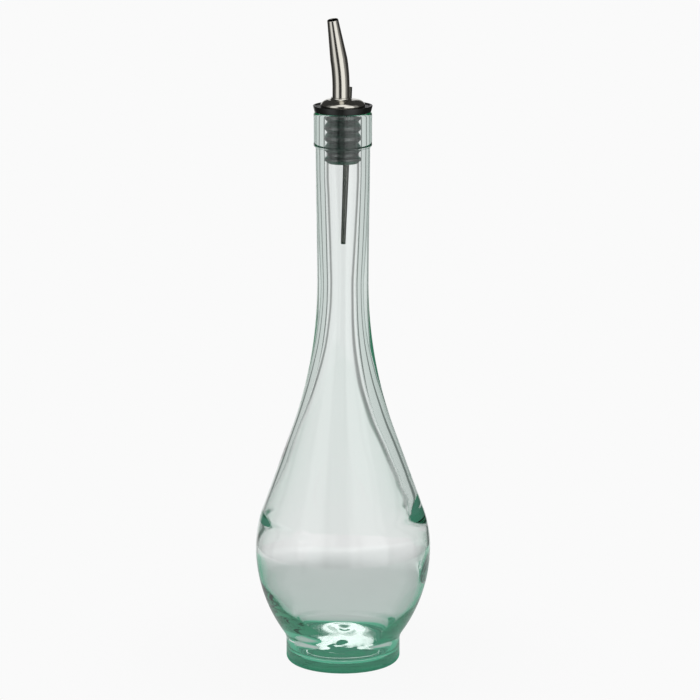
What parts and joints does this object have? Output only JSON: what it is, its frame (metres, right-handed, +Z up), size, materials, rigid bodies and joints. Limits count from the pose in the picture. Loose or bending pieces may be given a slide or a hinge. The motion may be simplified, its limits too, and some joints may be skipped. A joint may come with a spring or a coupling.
{
  "type": "glass oil bottle with pourer",
  "caption": "Clear green-tinted glass oil or vinegar bottle with a long neck and round belly, closed by a push-in pourer with a bent steel spout.",
  "frame": {"origin": "on the bottle's axis, at the level of the ring that it stands on", "axes": "+Z up along the bottle's axis; the spout leans towards -X and -Y"},
  "size_m": [0.0896, 0.0896, 0.3333],
  "materials": {
    "glass": "polished, faint green tint that deepens where the glass is thick",
    "rubber": "moulded, satin black",
    "steel": "polished stainless",
    "tube_steel": "drawn stainless, dull"
  },
  "bodies": {
    "root": {"bottle": "glass", "stopper": "rubber", "collar": "steel", "spout": "steel", "air_tube": "tube_steel"}
  },
  "joints": []
}
